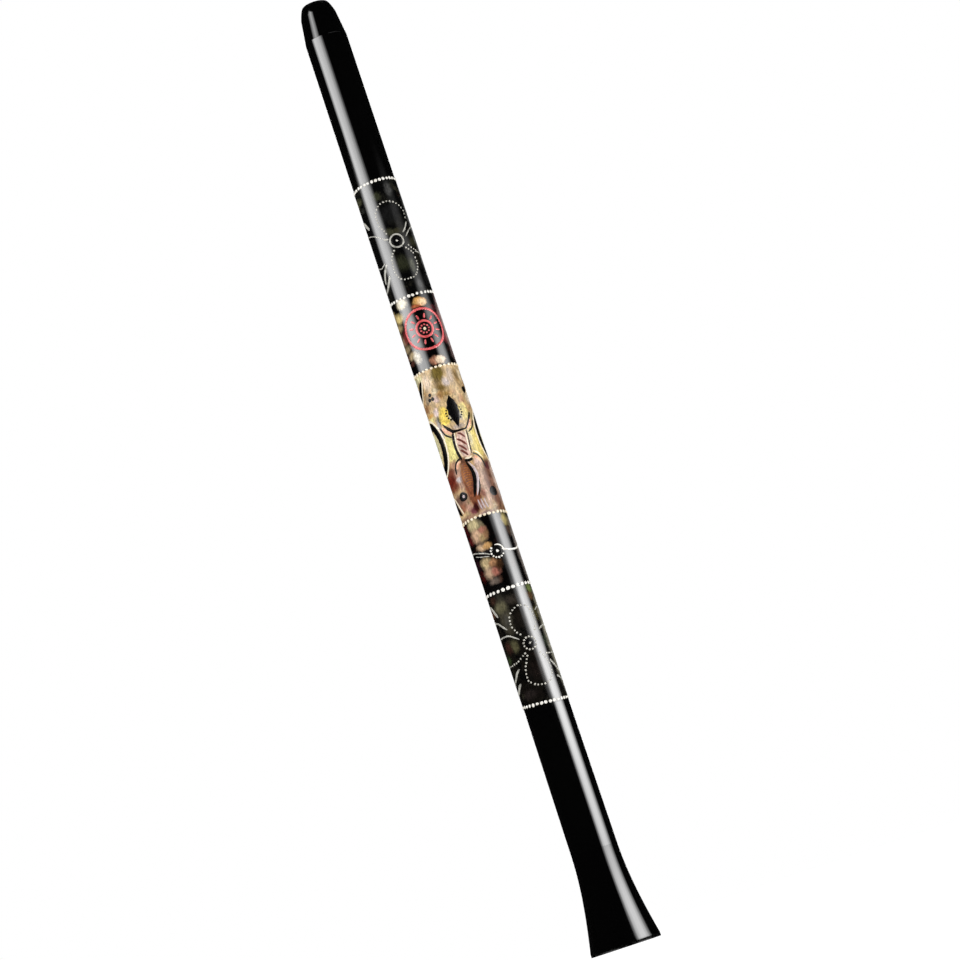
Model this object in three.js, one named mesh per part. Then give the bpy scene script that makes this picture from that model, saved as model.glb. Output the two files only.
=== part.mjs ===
// A synthetic didgeridoo: a slightly conical drone tube of gloss black plastic, with a rounded
// mouthpiece glued into its upper end, a flared bell glued into its lower end, and five bands of
// printed film between six rings of raised white paint dots.
//
// Units are millimetres. The tube stands on its bell: +Z runs up its axis towards the mouth, and
// the origin is the centre of the bell's flat rim.

import * as THREE from 'three';

// ---------------------------------------------------------------- driving dimensions

const LENGTH = 1295; // 51 inches, from the rim of the bell to the top of the lip
const SIDES = 48; // facets round every turned piece but the dotted rings
const CURVE_STEPS = 6; // straight steps along each curve of a profile

const WALL = 3; // plastic wall of the tube and the bell
const GLUE_GAP = 0.3; // end gap at each glued shoulder
const FIT_GAP = 0.15; // radial gap round each glued spigot
const SPIGOT_LENGTH = 30;
const SPIGOT_WALL = 2.5;

const MOUTH_JOINT_Z = 1244; // where the mouthpiece meets the tube
const MOUTH_JOINT_RADIUS = 28.3;
const NECK_Z = 318; // below here the tube widens faster
const NECK_RADIUS = 29.2;
const BELL_JOINT_Z = 126; // where the bell meets the tube, and its flare starts
const BELL_JOINT_RADIUS = 30.3;

const LIP_RADIUS = 16.5; // crown of the rounded lip
const LIP_HEIGHT = 16; // outer rounding of the lip
const LIP_INNER_HEIGHT = 5; // inner rounding of the lip
const LIP_SHOULDER_RADIUS = 23.9;
const LIP_CORNER_RADIUS = 19.3; // the corner that the outer rounding of the lip cuts
const MOUTH_BORE_RADIUS = 14; // a 28 mm mouth hole
const MOUTH_BORE_LENGTH = 14;

const FLARE_BEND_Z = 75; // the corner that the flare rounds
const FLARE_BEND_RADIUS = 30.6;
const RIM_RADIUS = 45.8;
const RIM_BAND_HEIGHT = 5; // upright band below the flare
const RIM_BEVEL = 0.5; // bevel on both edges of the flat rim

const FILM_GAP = 0.1; // adhesive under the film
const FILM_THICKNESS = 0.3;
const FILM_OVERHANG = 3; // film past the first and the last dotted ring
const FILM_BUTT_GAP = 0.4; // between two films, under a dotted ring

const RINGS = [
  { z: 1032, dots: 34 },
  { z: 874, dots: 31 },
  { z: 772, dots: 30 },
  { z: 569, dots: 30 },
  { z: 473, dots: 27 },
  { z: 322, dots: 33 },
]; // the dotted rings, from the top
const RING_GAP = 0.15;
const COLUMNS_PER_DOT = 3; // one column between two dots, and two across each dot
const DOT_FOOT_WIDTH = 3.8;
const DOT_TOP_WIDTH = 2.4;
const DOT_HEIGHT = 0.8;
const LINE_WIDTH = 1.4; // the thin painted line that joins the dots
const LINE_THICKNESS = 0.25;

// ---------------------------------------------------------------- materials

const plastic = (color, roughness) => new THREE.MeshStandardMaterial({ color, roughness, metalness: 0 });

const blackGloss = plastic(0x060607, 0.08);
const mouthGloss = plastic(0x070708, 0.12);
const flowerFilm = plastic(0x24231f, 0.2);
const amberFilm = plastic(0x4a3420, 0.2);
const motifFilm = plastic(0xc09a5c, 0.2);
const waveFilm = plastic(0x2a1c16, 0.2);
const whitePaint = plastic(0xf2efe6, 0.35);

// ---------------------------------------------------------------- radii as functions of height

function tubeRadius(z) {
  const { mapLinear } = THREE.MathUtils;
  if (z < NECK_Z) {
    return mapLinear(z, BELL_JOINT_Z, NECK_Z, BELL_JOINT_RADIUS, NECK_RADIUS);
  }
  return mapLinear(z, NECK_Z, MOUTH_JOINT_Z, NECK_RADIUS, MOUTH_JOINT_RADIUS);
}

const boreRadius = (z) => tubeRadius(z) - WALL;
const spigotRadius = (z) => boreRadius(z) - FIT_GAP;
const filmInnerRadius = (z) => tubeRadius(z) + FILM_GAP;
const filmOuterRadius = (z) => filmInnerRadius(z) + FILM_THICKNESS;

// ---------------------------------------------------------------- shared shapes

// Turns a closed profile, drawn as radius and height, about the Z axis.
function turned(profile, sides = SIDES) {
  profile.closePath();
  const points = profile.getPoints(CURVE_STEPS);
  points[points.length - 1].copy(points[0]);
  return new THREE.LatheGeometry(points, sides).rotateX(Math.PI / 2);
}

// A sleeve through rising heights, with its inner and outer radius as functions of height.
function sleeve(heights, inner, outer) {
  const profile = new THREE.Path();
  profile.moveTo(outer(heights[0]), heights[0]);
  heights.slice(1).forEach((z) => profile.lineTo(outer(z), z));
  heights.toReversed().forEach((z) => profile.lineTo(inner(z), z));
  return turned(profile);
}

// A level band round the tube that narrows from its foot to its top.
function band(z, footRadius, footWidth, topWidth, thickness, sides) {
  const topRadius = footRadius + thickness;
  const profile = new THREE.Path();
  profile.moveTo(footRadius, z - footWidth / 2);
  profile.lineTo(topRadius, z - topWidth / 2);
  profile.lineTo(topRadius, z + topWidth / 2);
  profile.lineTo(footRadius, z + footWidth / 2);
  return turned(profile, sides);
}

function named(name, geometry, material) {
  const mesh = new THREE.Mesh(geometry, material);
  mesh.name = name;
  return mesh;
}

// ---------------------------------------------------------------- the pieces

function bodyTube() {
  const heights = [BELL_JOINT_Z + GLUE_GAP, NECK_Z, MOUTH_JOINT_Z - GLUE_GAP];
  return sleeve(heights, boreRadius, tubeRadius);
}

// A blunt cone that narrows to a full round lip, with a spigot that is glued inside the tube.
function mouthpiece() {
  const spigotZ = MOUTH_JOINT_Z - SPIGOT_LENGTH;
  const spigotBore = spigotRadius(spigotZ) - SPIGOT_WALL;
  const innerLipZ = LENGTH - LIP_INNER_HEIGHT;
  const profile = new THREE.Path();
  profile.moveTo(MOUTH_JOINT_RADIUS, MOUTH_JOINT_Z);
  profile.lineTo(LIP_SHOULDER_RADIUS, LENGTH - LIP_HEIGHT);
  profile.quadraticCurveTo(LIP_CORNER_RADIUS, LENGTH, LIP_RADIUS, LENGTH);
  profile.quadraticCurveTo(MOUTH_BORE_RADIUS, LENGTH, MOUTH_BORE_RADIUS, innerLipZ);
  profile.lineTo(MOUTH_BORE_RADIUS, LENGTH - MOUTH_BORE_LENGTH);
  profile.lineTo(spigotBore, MOUTH_JOINT_Z);
  profile.lineTo(spigotBore, spigotZ);
  profile.lineTo(spigotRadius(spigotZ), spigotZ);
  profile.lineTo(spigotRadius(MOUTH_JOINT_Z), MOUTH_JOINT_Z);
  return turned(profile);
}

// A trumpet flare on a flat rim, with a spigot that is glued inside the tube.
function bell() {
  const spigotZ = BELL_JOINT_Z + SPIGOT_LENGTH;
  const spigotBore = spigotRadius(spigotZ) - SPIGOT_WALL;
  const innerRim = RIM_RADIUS - WALL;
  const innerThroat = BELL_JOINT_RADIUS - WALL;
  const profile = new THREE.Path();
  profile.moveTo(RIM_RADIUS - RIM_BEVEL, 0);
  profile.lineTo(RIM_RADIUS, RIM_BEVEL);
  profile.lineTo(RIM_RADIUS, RIM_BAND_HEIGHT);
  profile.quadraticCurveTo(FLARE_BEND_RADIUS, FLARE_BEND_Z, BELL_JOINT_RADIUS, BELL_JOINT_Z);
  profile.lineTo(spigotRadius(BELL_JOINT_Z), BELL_JOINT_Z);
  profile.lineTo(spigotRadius(spigotZ), spigotZ);
  profile.lineTo(spigotBore, spigotZ);
  profile.lineTo(spigotBore, BELL_JOINT_Z);
  profile.lineTo(innerThroat, BELL_JOINT_Z - WALL);
  profile.quadraticCurveTo(FLARE_BEND_RADIUS - WALL, FLARE_BEND_Z, innerRim, RIM_BAND_HEIGHT);
  profile.lineTo(innerRim, RIM_BEVEL);
  profile.lineTo(innerRim + RIM_BEVEL, 0);
  return turned(profile);
}

// The film between ring number i and the ring below it.
function film(i) {
  const isFirst = i === 0;
  const isLast = i === RINGS.length - 2;
  const top = RINGS[i].z + (isFirst ? FILM_OVERHANG : -FILM_BUTT_GAP / 2);
  const bottom = RINGS[i + 1].z + (isLast ? -FILM_OVERHANG : FILM_BUTT_GAP / 2);
  return sleeve([bottom, top], filmInnerRadius, filmOuterRadius);
}

// A row of blunt six-sided dots joined by a thin painted line, as one solid: a band as high as
// the dots, lowered to the line at every column that lies between two dots.
function dotRing({ z, dots }) {
  const columns = dots * COLUMNS_PER_DOT;
  const footRadius = filmOuterRadius(z) + RING_GAP;
  const ring = band(z, footRadius, DOT_FOOT_WIDTH, DOT_TOP_WIDTH, DOT_HEIGHT, columns);
  const line = band(z, footRadius, LINE_WIDTH, LINE_WIDTH, LINE_THICKNESS, columns);
  const ringPoints = ring.getAttribute('position');
  const linePoints = line.getAttribute('position');
  const pointsPerColumn = ringPoints.count / (columns + 1);
  for (let dot = 0; dot <= dots; dot++) {
    const first = dot * COLUMNS_PER_DOT * pointsPerColumn;
    for (let i = first; i < first + pointsPerColumn; i++) {
      ringPoints.copyAt(i, linePoints, i);
    }
  }
  ring.computeVertexNormals();
  return ring;
}

// ---------------------------------------------------------------- assembly

const FILMS = [
  ['film_upper_flowers', flowerFilm],
  ['film_amber_spots', amberFilm],
  ['film_central_motif', motifFilm],
  ['film_wave_line', waveFilm],
  ['film_lower_flowers', flowerFilm],
];

const didgeridoo = new THREE.Group();
didgeridoo.name = 'didgeridoo';
didgeridoo.add(named('body_tube', bodyTube(), blackGloss));
didgeridoo.add(named('mouthpiece', mouthpiece(), mouthGloss));
didgeridoo.add(named('bell', bell(), blackGloss));
FILMS.forEach(([name, material], i) => didgeridoo.add(named(name, film(i), material)));
RINGS.forEach((ring, i) => didgeridoo.add(named(`dot_ring_${i + 1}`, dotRing(ring), whitePaint)));

export default didgeridoo;
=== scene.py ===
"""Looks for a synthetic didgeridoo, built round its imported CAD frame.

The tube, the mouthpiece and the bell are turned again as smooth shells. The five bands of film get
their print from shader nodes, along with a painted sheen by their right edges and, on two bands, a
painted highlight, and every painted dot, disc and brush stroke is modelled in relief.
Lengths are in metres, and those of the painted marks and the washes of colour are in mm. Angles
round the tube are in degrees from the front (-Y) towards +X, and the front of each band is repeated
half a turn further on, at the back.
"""

import math
import random

import bmesh
import bpy
from mathutils import Matrix, Vector


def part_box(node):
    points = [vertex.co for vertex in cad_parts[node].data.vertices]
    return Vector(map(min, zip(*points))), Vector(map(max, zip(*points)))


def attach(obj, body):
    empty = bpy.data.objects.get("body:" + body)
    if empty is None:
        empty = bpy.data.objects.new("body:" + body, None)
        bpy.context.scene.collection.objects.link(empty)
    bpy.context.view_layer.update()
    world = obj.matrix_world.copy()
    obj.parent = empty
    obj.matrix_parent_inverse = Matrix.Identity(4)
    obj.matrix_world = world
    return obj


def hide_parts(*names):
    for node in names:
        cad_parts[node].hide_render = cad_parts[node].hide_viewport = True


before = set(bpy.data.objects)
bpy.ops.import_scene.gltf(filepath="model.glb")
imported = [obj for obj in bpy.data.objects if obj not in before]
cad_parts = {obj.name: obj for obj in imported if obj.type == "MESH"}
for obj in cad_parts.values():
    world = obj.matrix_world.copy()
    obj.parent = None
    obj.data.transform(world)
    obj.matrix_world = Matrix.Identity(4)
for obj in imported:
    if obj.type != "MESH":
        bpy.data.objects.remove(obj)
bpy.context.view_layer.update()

MM = 0.001
TURN = 2 * math.pi


# -------- sizes from the frame


def box_radius(node):
    low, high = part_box(node)
    return (high.x - low.x) / 2


def middle_height(node):
    low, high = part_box(node)
    return (high.z + low.z) / 2


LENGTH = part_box("mouthpiece")[1].z
BELL_JOINT_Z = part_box("body_tube")[0].z
MOUTH_JOINT_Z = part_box("body_tube")[1].z
BELL_JOINT_RADIUS = box_radius("body_tube")
MOUTH_JOINT_RADIUS = box_radius("mouthpiece")
RIM_RADIUS = box_radius("bell")
RING_NODES = ["dot_ring_%d" % number for number in range(1, 7)]

# Sizes that the boxes can't tell, as in the CAD.
NECK_Z = 318 * MM
NECK_RADIUS = 29.2 * MM
WALL = 3 * MM
FIT_GAP = 0.15 * MM
SPIGOT_WALL = 2.5 * MM
LIP_RADIUS = 16.5 * MM
LIP_HEIGHT = 16 * MM
LIP_INNER_HEIGHT = 5 * MM
LIP_SHOULDER_RADIUS = 23.9 * MM
LIP_CORNER_RADIUS = 19.3 * MM
MOUTH_BORE_RADIUS = 14 * MM
MOUTH_BORE_LENGTH = 14 * MM
FLARE_BEND_Z = 75 * MM
FLARE_BEND_RADIUS = 30.6 * MM
RIM_BAND_HEIGHT = 5 * MM
FILM_GAP = 0.1 * MM
FILM_THICKNESS = 0.3 * MM
SINK = 0.08 * MM  # how far the foot of a painted mark lies inside the film
SEAM = 0.03 * MM  # the hairline left between two shells at a glued joint

TURN_SEGMENTS = 192
CURVE_STEPS = 24
SHARP_ANGLE = math.radians(32)
PLASTIC_IOR = 1.52


def tube_radius(z):
    if z < NECK_Z:
        share = (z - BELL_JOINT_Z) / (NECK_Z - BELL_JOINT_Z)
        return BELL_JOINT_RADIUS + share * (NECK_RADIUS - BELL_JOINT_RADIUS)
    share = (z - NECK_Z) / (MOUTH_JOINT_Z - NECK_Z)
    return NECK_RADIUS + share * (MOUTH_JOINT_RADIUS - NECK_RADIUS)


def bore_radius(z):
    return tube_radius(z) - WALL


def spigot_radius(z):
    return bore_radius(z) - FIT_GAP


def film_radius(z):
    return tube_radius(z) + FILM_GAP + FILM_THICKNESS


def on_film(angle, z, lift):
    """The point that stands lift above the film, at an angle in radians from the front."""
    radius = film_radius(z) + lift
    return (radius * math.sin(angle), -radius * math.cos(angle), z)


class Ring:
    """A dotted ring. It was laid by hand, so its height waves by lean to the right and by sag to
    the front, both in mm. first is the angle of one of its dots, in degrees."""

    def __init__(self, node, dots, first, dot_radius, lean, sag):
        self.node = node
        self.height = middle_height(node)
        self.dots = dots
        self.first = first
        self.dot_radius = dot_radius
        self.lean = lean * MM
        self.sag = sag * MM

    def wave(self, angle):
        return self.lean * math.sin(angle) + self.sag * math.cos(angle)


RINGS = [
    Ring("dot_ring_1", 34, 28, 1.95, 1.1, 1.2),
    Ring("dot_ring_2", 31, 6, 2.05, 0.0, -1.0),
    Ring("dot_ring_3", 30, 3, 1.95, -0.5, 1.2),
    Ring("dot_ring_4", 30, 3, 2.1, -0.2, 2.0),
    Ring("dot_ring_5", 27, 1, 2.3, 0.6, -1.2),
    Ring("dot_ring_6", 33, 1, 2.0, -2.0, -2.2),
]


# -------- shader helpers


def new_material(name):
    material = bpy.data.materials.new(name)
    material.use_nodes = True
    tree = material.node_tree
    shader = tree.nodes["Principled BSDF"]
    return material, tree, shader


def set_inputs(tree, node, inputs):
    """Sets the inputs of a node, and links those whose value is a socket."""
    for key, value in inputs.items():
        if isinstance(value, bpy.types.NodeSocket):
            tree.links.new(value, node.inputs[key])
        else:
            node.inputs[key].default_value = value


def add_node(tree, kind, inputs=None, **properties):
    node = tree.nodes.new(kind)
    for key, value in properties.items():
        setattr(node, key, value)
    set_inputs(tree, node, inputs or {})
    return node


def object_place(tree):
    return add_node(tree, "ShaderNodeTexCoord").outputs["Object"]


def math_node(tree, operation, first, second=0.0, third=0.0):
    inputs = {0: first, 1: second, 2: third}
    return add_node(tree, "ShaderNodeMath", inputs, operation=operation).outputs[0]


def noise_node(tree, vector, scale, detail=3.0, roughness=0.5, distortion=0.0):
    inputs = {"Vector": vector, "Scale": scale, "Detail": detail, "Roughness": roughness}
    inputs["Distortion"] = distortion
    return add_node(tree, "ShaderNodeTexNoise", inputs)


def range_node(tree, value, low, high, to_low=0.0, to_high=1.0, smooth=True):
    inputs = {"Value": value, "From Min": low, "From Max": high, "To Min": to_low, "To Max": to_high}
    kind = "SMOOTHSTEP" if smooth else "LINEAR"
    node = add_node(tree, "ShaderNodeMapRange", inputs, interpolation_type=kind, clamp=True)
    return node.outputs["Result"]


def mix_colour(tree, share, under, over, blend="MIX"):
    sockets = {0: share, 6: under, 7: over}
    node = add_node(tree, "ShaderNodeMix", sockets, data_type="RGBA", blend_type=blend)
    return node.outputs[2]


def linear(red, green, blue):
    """A shader colour from display values of 0 to 255."""

    def one(value):
        share = value / 255
        return share / 12.92 if share <= 0.04045 else ((share + 0.055) / 1.055) ** 2.4

    return (one(red), one(green), one(blue), 1.0)


def stretched(tree, vector, x, y, z):
    return add_node(tree, "ShaderNodeMapping", {"Vector": vector, "Scale": (x, y, z)}).outputs[0]


def add_bump(tree, shader, heights):
    """Chains one bump node for each (height socket, strength, depth in metres)."""
    normal = None
    for height, strength, depth in heights:
        inputs = {"Height": height, "Strength": strength, "Distance": depth}
        if normal is not None:
            inputs["Normal"] = normal
        normal = add_node(tree, "ShaderNodeBump", inputs).outputs[0]
    tree.links.new(normal, shader.inputs["Normal"])


# -------- materials of plastic and paint


def black_plastic(name, scuffed_from, scuffed_to, gloss=0.5):
    """Gloss black plastic with a faint ripple, hairline rubbing marks, dust and a scuffed edge.

    The scuffs fade in between the two heights, the second of which is at the worn edge."""
    material, tree, shader = new_material(name)
    place = object_place(tree)
    height = add_node(tree, "ShaderNodeSeparateXYZ", {"Vector": place}).outputs["Z"]

    smudges = noise_node(tree, place, 22.0, 4.0, 0.6).outputs[0]
    along = stretched(tree, place, 1400, 1400, 9)
    hairlines = range_node(tree, noise_node(tree, along, 1.0, 2.0).outputs[0], 0.66, 0.74)
    around = stretched(tree, place, 60, 60, 2600)
    rubbing = range_node(tree, noise_node(tree, around, 1.0, 2.0).outputs[0], 0.68, 0.76)
    dust = range_node(tree, noise_node(tree, place, 900.0, 1.0).outputs[0], 0.74, 0.8)
    nicks = range_node(tree, noise_node(tree, place, 420.0, 4.0, 0.7).outputs[0], 0.52, 0.62)
    edge = range_node(tree, height, scuffed_from, scuffed_to)
    scuffs = math_node(tree, "MULTIPLY", nicks, edge)

    colour = mix_colour(tree, dust, linear(2, 2, 2), linear(20, 20, 19))
    colour = mix_colour(tree, scuffs, colour, linear(58, 57, 56))
    rough = range_node(tree, smudges, 0.3, 0.75, 0.045, 0.1)
    for marks, amount in ((hairlines, 0.05), (rubbing, 0.04), (scuffs, 0.35)):
        rough = math_node(tree, "MULTIPLY_ADD", marks, amount, rough)
    set_inputs(tree, shader, {"Base Color": colour, "Roughness": rough})
    set_inputs(tree, shader, {"IOR": PLASTIC_IOR, "Specular IOR Level": gloss})

    ripple = noise_node(tree, stretched(tree, place, 30, 30, 8), 1.0, 1.0).outputs[0]
    peel = noise_node(tree, place, 240.0, 1.0).outputs[0]
    relief = [(ripple, 0.5, 0.4 * MM), (peel, 0.26, 0.04 * MM), (scuffs, 0.4, 0.05 * MM)]
    add_bump(tree, shader, relief)
    return material


def paint(name, colour, worn_colour, roughness, gloss=0.5):
    """Hand-applied acrylic paint: uneven colour, a satin skin and small pits."""
    relief = 0.08 * MM
    material, tree, shader = new_material(name)
    place = object_place(tree)
    clouds = noise_node(tree, place, 190.0, 3.0, 0.6).outputs[0]
    pits = noise_node(tree, place, 1500.0, 2.0, 0.6).outputs[0]
    mixed = mix_colour(tree, range_node(tree, clouds, 0.42, 0.72), colour, worn_colour)
    rough = range_node(tree, pits, 0.3, 0.7, roughness - 0.07, roughness + 0.09)
    set_inputs(tree, shader, {"Base Color": mixed, "Roughness": rough, "Specular IOR Level": gloss})
    add_bump(tree, shader, [(clouds, 0.3, relief), (pits, 0.25, relief / 3)])
    return material


WHITE_PAINT = paint("white_paint", linear(246, 243, 235), linear(222, 217, 204), 0.34)
CREAM_PAINT = paint("cream_paint", linear(245, 232, 205), linear(226, 205, 168), 0.34)
PALE_PAINT = paint("pale_grey_paint", linear(190, 187, 176), linear(140, 137, 126), 0.36)
GREY_PAINT = paint("grey_brushed_paint", linear(182, 180, 170), linear(104, 102, 94), 0.42)
BLACK_PAINT = paint("black_paint", linear(2, 2, 3), linear(8, 6, 6), 0.28, 0.14)
RED_PAINT = paint("red_paint", linear(224, 92, 94), linear(192, 56, 60), 0.28)
RUST_PAINT = paint("rust_paint", linear(112, 50, 34), linear(66, 26, 20), 0.32)
PEACH_PAINT = paint("peach_paint", linear(228, 172, 136), linear(206, 136, 98), 0.34)
LILAC_PAINT = paint("lilac_paint", linear(198, 182, 184), linear(158, 138, 142), 0.34)


# -------- printed film


def vector_math(tree, operation, first, second):
    node = add_node(tree, "ShaderNodeVectorMath", {0: first, 1: second}, operation=operation)
    return node.outputs[0]


def film_place(tree, place, radius, warp):
    """Coordinates in mm round and up the tube, repeated each half turn, with ragged edges."""
    parts = add_node(tree, "ShaderNodeSeparateXYZ", {"Vector": place})
    front = math_node(tree, "MULTIPLY", parts.outputs["Y"], -1.0)
    angle = math_node(tree, "ARCTAN2", parts.outputs["X"], front)
    angle = math_node(tree, "WRAP", angle, math.pi / 2, -math.pi / 2)
    arc = math_node(tree, "MULTIPLY", angle, radius / MM)
    height = math_node(tree, "MULTIPLY", parts.outputs["Z"], 1 / MM)
    flat = add_node(tree, "ShaderNodeCombineXYZ", {"X": arc, "Y": height}).outputs[0]
    for scale, amount in ((95.0, warp), (420.0, warp * 0.55)):
        wobble = noise_node(tree, place, scale, 3.0, 0.6).outputs["Color"]
        centred = vector_math(tree, "SUBTRACT", wobble, (0.5, 0.5, 0.5))
        shift = vector_math(tree, "MULTIPLY", centred, (amount, amount, 0))
        flat = vector_math(tree, "ADD", flat, shift)
    return flat


def wash_share(tree, flat, arc, z, half_width, half_height, opacity=0.95, soft=0.75, tilt=0):
    """How much a soft-edged ellipse covers, with its place and half sizes in mm."""
    inputs = {"Vector": flat, "Location": (arc, z, 0), "Rotation": (0, 0, math.radians(tilt))}
    inputs["Scale"] = (half_width, half_height, 1)
    local = add_node(tree, "ShaderNodeMapping", inputs, vector_type="TEXTURE").outputs[0]
    ball = add_node(tree, "ShaderNodeTexGradient", {"Vector": local}, gradient_type="SPHERICAL")
    return range_node(tree, ball.outputs["Fac"], 0.0, soft, 0.0, opacity)


def printed_film_and_sheen(name, z, ground, patches, washes, warp=7.0, contrast=0.3, gloss=0.5):
    """Printed film: a mottled ground, soft washes over it, brush dabs and a clear gloss coat. Some
    washes are painted light, not print: a painted sheen by the right edge, and painted highlights.

    patches are (noise scale, low, high, colour) clouds laid over the ground. washes are (angle, z,
    half width, half height, colour), and then opacity, softness of the edge and tilt as needed."""
    radius = tube_radius(z)
    material, tree, shader = new_material(name)
    place = object_place(tree)
    flat = film_place(tree, place, radius, warp)

    colour = linear(*ground)
    for scale, low, high, patch_colour in patches:
        clouds = noise_node(tree, place, scale, 4.0, 0.62, 0.6).outputs[0]
        share = range_node(tree, clouds, low, high)
        colour = mix_colour(tree, share, colour, linear(*patch_colour))
    for angle, height, half_width, half_height, wash_colour, *edge in washes:
        arc = math.radians(angle) * radius / MM
        share = wash_share(tree, flat, arc, height, half_width, half_height, *edge)
        colour = mix_colour(tree, share, colour, linear(*wash_colour))

    dab_place = stretched(tree, flat, 0.42, 0.24, 1)
    dabs = add_node(tree, "ShaderNodeTexVoronoi", {"Vector": dab_place, "Scale": 1.0})
    dab = add_node(tree, "ShaderNodeSeparateColor", {0: dabs.outputs["Color"]}).outputs[0]
    streaks = noise_node(tree, stretched(tree, place, 700, 700, 120), 1.0, 3.0, 0.6).outputs[0]
    speckle = noise_node(tree, place, 1700.0, 2.0, 0.6).outputs[0]
    grain = range_node(tree, streaks, 0.3, 0.7, 1 - contrast, 1 + contrast, smooth=False)
    grain = math_node(tree, "MULTIPLY", grain, range_node(tree, speckle, 0.3, 0.7, 0.85, 1.15))
    daubed = range_node(tree, dab, 0.0, 1.0, 1 - contrast, 1 + 0.8 * contrast, smooth=False)
    grain = math_node(tree, "MULTIPLY", grain, daubed)
    grey = add_node(tree, "ShaderNodeCombineColor", {0: grain, 1: grain, 2: grain}).outputs[0]
    colour = mix_colour(tree, 1.0, colour, grey, "MULTIPLY")

    smudges = noise_node(tree, place, 30.0, 3.0, 0.6).outputs[0]
    rough = range_node(tree, smudges, 0.3, 0.7, 0.09, 0.17)
    set_inputs(tree, shader, {"Base Color": colour, "Roughness": rough})
    set_inputs(tree, shader, {"IOR": PLASTIC_IOR, "Specular IOR Level": gloss})
    ripple = noise_node(tree, stretched(tree, place, 60, 60, 25), 1.0, 1.0).outputs[0]
    relief = [(ripple, 0.35, 0.35 * MM), (streaks, 0.25, 0.03 * MM), (speckle, 0.2, 0.01 * MM)]
    add_bump(tree, shader, relief)
    return material


# -------- mesh helpers


def add_piece(name, verts, faces, material, slot, replaces=()):
    """A mesh piece that rides on the body, with its faces turned outwards."""
    mesh = bpy.data.meshes.new(name)
    mesh.from_pydata(verts, [], faces)
    shape = bmesh.new()
    shape.from_mesh(mesh)
    bmesh.ops.recalc_face_normals(shape, faces=shape.faces)
    shape.to_mesh(mesh)
    shape.free()
    mesh.shade_smooth()
    mesh.set_sharp_from_angle(angle=SHARP_ANGLE)
    mesh.materials.append(material)
    piece = bpy.data.objects.new(name, mesh)
    bpy.context.scene.collection.objects.link(piece)
    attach(piece, "root")
    if replaces:
        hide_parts(*replaces)
    return piece


def curve(start, corner, end, steps=CURVE_STEPS):
    """Points of the quadratic curve from start, without its end."""
    points = []
    for step in range(steps):
        t = step / steps
        a, b, c = (1 - t) ** 2, 2 * t * (1 - t), t * t
        points.append(tuple(a * s + b * k + c * e for s, k, e in zip(start, corner, end)))
    return points


def quads(here, there, size):
    """Faces between two rings of vertices, from the first vertex of each."""
    return [(here + i, here + (i + 1) % size, there + (i + 1) % size, there + i) for i in range(size)]


def turned(profile):
    """Vertices and faces of a closed profile turned about the Z axis.

    Its points are (radius, height), or (radius, height, ring) where they follow a ring's wave."""
    verts = []
    faces = []
    for radius, z, *ring in profile:
        for i in range(TURN_SEGMENTS):
            angle = TURN * i / TURN_SEGMENTS
            wave = ring[0].wave(angle) if ring else 0.0
            verts.append((radius * math.sin(angle), -radius * math.cos(angle), z + wave))
    for p in range(len(profile)):
        after = (p + 1) % len(profile)
        faces += quads(p * TURN_SEGMENTS, after * TURN_SEGMENTS, TURN_SEGMENTS)
    return verts, faces


# -------- the three shells


def make_body_tube(material):
    bevel = 0.12 * MM
    low, high = BELL_JOINT_Z, MOUTH_JOINT_Z
    steps = 40
    outside = [low + bevel + (high - low - 2 * bevel) * i / steps for i in range(steps + 1)]
    outside = sorted(outside + [NECK_Z])
    profile = [(tube_radius(low) - bevel, low)]
    profile += [(tube_radius(z), z) for z in outside]
    profile += [(tube_radius(high) - bevel, high), (bore_radius(high), high)]
    profile += [(bore_radius(NECK_Z), NECK_Z), (bore_radius(low), low)]
    add_piece("tube_shell", *turned(profile), material, "black_plastic", ["body_tube"])


def make_mouthpiece(material):
    """A straight cone, a round lip, and a spigot inside the tube."""
    bevel = 0.12 * MM
    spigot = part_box("mouthpiece")[0].z
    joint = MOUTH_JOINT_Z + SEAM
    spigot_bore = spigot_radius(spigot) - SPIGOT_WALL
    outer = (LIP_SHOULDER_RADIUS, LENGTH - LIP_HEIGHT)
    crown = (LIP_RADIUS, LENGTH)
    bore = (MOUTH_BORE_RADIUS, LENGTH - LIP_INNER_HEIGHT)
    profile = [(MOUTH_JOINT_RADIUS - bevel, joint), (MOUTH_JOINT_RADIUS, joint + bevel)]
    profile += curve(outer, (LIP_CORNER_RADIUS, LENGTH), crown)
    profile += curve(crown, (MOUTH_BORE_RADIUS, LENGTH), bore)
    profile += [bore, (MOUTH_BORE_RADIUS, LENGTH - MOUTH_BORE_LENGTH)]
    profile += [(spigot_bore, joint), (spigot_bore, spigot), (spigot_radius(spigot), spigot)]
    profile += [(spigot_radius(joint), joint)]
    add_piece("mouthpiece_shell", *turned(profile), material, "mouthpiece_plastic", ["mouthpiece"])


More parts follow.
